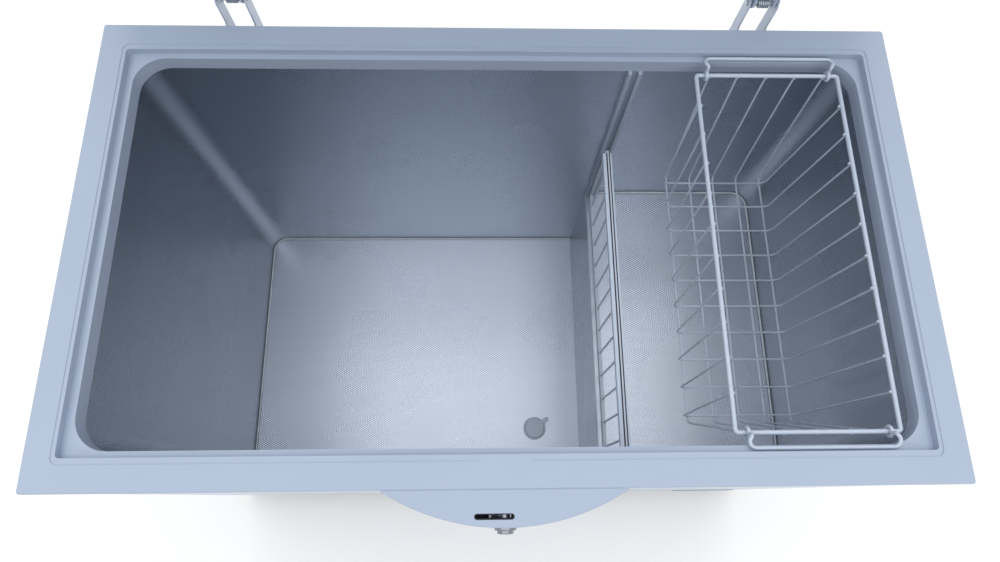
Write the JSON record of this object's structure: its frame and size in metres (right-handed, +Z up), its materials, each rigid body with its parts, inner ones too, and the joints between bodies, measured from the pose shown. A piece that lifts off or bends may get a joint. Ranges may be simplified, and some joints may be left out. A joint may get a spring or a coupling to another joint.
{
  "type": "chest freezer",
  "caption": "Top-opening chest freezer, standing open: embossed metal liner with a stepped floor, lift-out wire basket and divider, drain plug, key lock, and a hinged insulated lid.",
  "frame": {"origin": "on the floor, under the middle of the cabinet", "axes": "+Z up, +X to the right and +Y to the back as seen by a person in front of it; the lid stands open"},
  "size_m": [1.12, 0.7544, 1.5551],
  "materials": {
    "painted_steel": "smooth satin paint",
    "galvanised_steel": "spangled zinc coat",
    "rim_plastic": "smooth satin moulding",
    "guide_plastic": "fine matt",
    "embossed_aluminium": "embossed, satin",
    "seam_sealant": "smooth bead",
    "trim_aluminium": "bright extruded",
    "foam": "closed cell foam",
    "coated_wire": "plastic coated wire",
    "divider_bar": "satin",
    "drain_plastic": "satin",
    "black_plastic": "fine grain",
    "bright_chrome": "polished",
    "zinc_steel": "zinc plated",
    "black_enamel": "gloss black enamel",
    "grey_rubber": "soft matt",
    "black_rubber": "matt",
    "copper_tube": "drawn copper",
    "coil_tube": "bundy tube",
    "coil_aluminium": "drawn tube",
    "lamp_plastic": "tinted lens"
  },
  "bodies": {
    "cabinet": {"rim_frame": "rim_plastic", "throat_lip": "rim_plastic", "outer_shell": "painted_steel", "back_panel": "galvanised_steel", "base_pan": "galvanised_steel", "feet": "black_plastic", "vent_grille": "black_plastic", "insulation_foam": "foam", "liner_walls": "embossed_aluminium", "liner_floor": "embossed_aluminium", "liner_step": "embossed_aluminium", "seam_beads": "seam_sealant", "step_trim": "trim_aluminium", "guide_back": "guide_plastic", "guide_front": "guide_plastic", "drain_socket": "drain_plastic", "drain_pipe": "drain_plastic", "lock_housing": "rim_plastic", "lock_bezel": "bright_chrome", "hinge_brackets": "painted_steel", "hinge_pins": "zinc_steel", "hinge_springs": "zinc_steel", "machine_well": "galvanised_steel", "compressor_shell": "black_enamel", "compressor_bracket": "galvanised_steel", "compressor_grommets": "black_rubber", "compressor_bolts": "zinc_steel", "starter_box": "black_plastic", "suction_line": "copper_tube", "discharge_line": "copper_tube", "filter_drier": "copper_tube", "capillary_tube": "copper_tube", "condenser_coil": "coil_tube", "evaporator_coil": "coil_aluminium", "power_inlet": "black_plastic", "back_screws": "zinc_steel", "control_bezel": "guide_plastic", "indicator_lamps": "lamp_plastic", "thermostat_body": "black_plastic", "sensor_tube": "copper_tube"},
    "lid": {"lid_skin": "painted_steel", "lid_foam": "foam", "lid_liner": "rim_plastic", "lid_gasket": "grey_rubber", "lid_grip": "rim_plastic", "lock_tongue": "zinc_steel", "hinge_leaves": "painted_steel", "leaf_screws": "zinc_steel"},
    "lock": {"lock_cylinder": "bright_chrome", "lock_cam": "zinc_steel"},
    "basket": {"basket_frame": "coated_wire", "basket_long_wires": "coated_wire", "basket_cross_wires": "coated_wire"},
    "handle_back": {"basket_handle_back": "coated_wire"},
    "handle_front": {"basket_handle_front": "coated_wire"},
    "divider": {"divider_top_bar": "divider_bar", "divider_grid": "coated_wire"},
    "plug": {"drain_plug": "drain_plastic"},
    "outlet_cap": {"drain_outlet_cap": "drain_plastic"},
    "knob": {"thermostat_knob": "guide_plastic"}
  },
  "joints": [
    {"name": "lid_hinge", "type": "hinge", "parent": "cabinet", "child": "lid", "pos_m": [0, 0.352, 0.841], "axis": [-1, 0, 0], "range_deg": [-90, 0]},
    {"name": "lock_turn", "type": "hinge", "parent": "cabinet", "child": "lock", "pos_m": [0, -0.362, 0.793], "axis": [0, 1, 0], "range_deg": [0, 60]},
    {"name": "basket_lift", "type": "slide", "parent": "cabinet", "child": "basket", "axis": [0, 0, 1], "range_m": [0, 0.35]},
    {"name": "handle_back_fold", "type": "hinge", "parent": "basket", "child": "handle_back", "pos_m": [0.388, 0.254, 0.805], "axis": [1, 0, 0], "range_deg": [0, 110]},
    {"name": "handle_front_fold", "type": "hinge", "parent": "basket", "child": "handle_front", "pos_m": [0.388, -0.254, 0.805], "axis": [-1, 0, 0], "range_deg": [0, 110]},
    {"name": "divider_lift", "type": "slide", "parent": "cabinet", "child": "divider", "axis": [0, 0, 1], "range_m": [0, 0.47]},
    {"name": "plug_pull", "type": "slide", "parent": "cabinet", "child": "plug", "axis": [0, 0, 1], "range_m": [0, 0.06]},
    {"name": "outlet_cap_pull", "type": "slide", "parent": "cabinet", "child": "outlet_cap", "axis": [0, -1, 0], "range_m": [0, 0.03]},
    {"name": "knob_turn", "type": "hinge", "parent": "cabinet", "child": "knob", "pos_m": [0.43, -0.3, 0.092], "axis": [0, 1, 0], "range_deg": [-135, 135]}
  ]
}
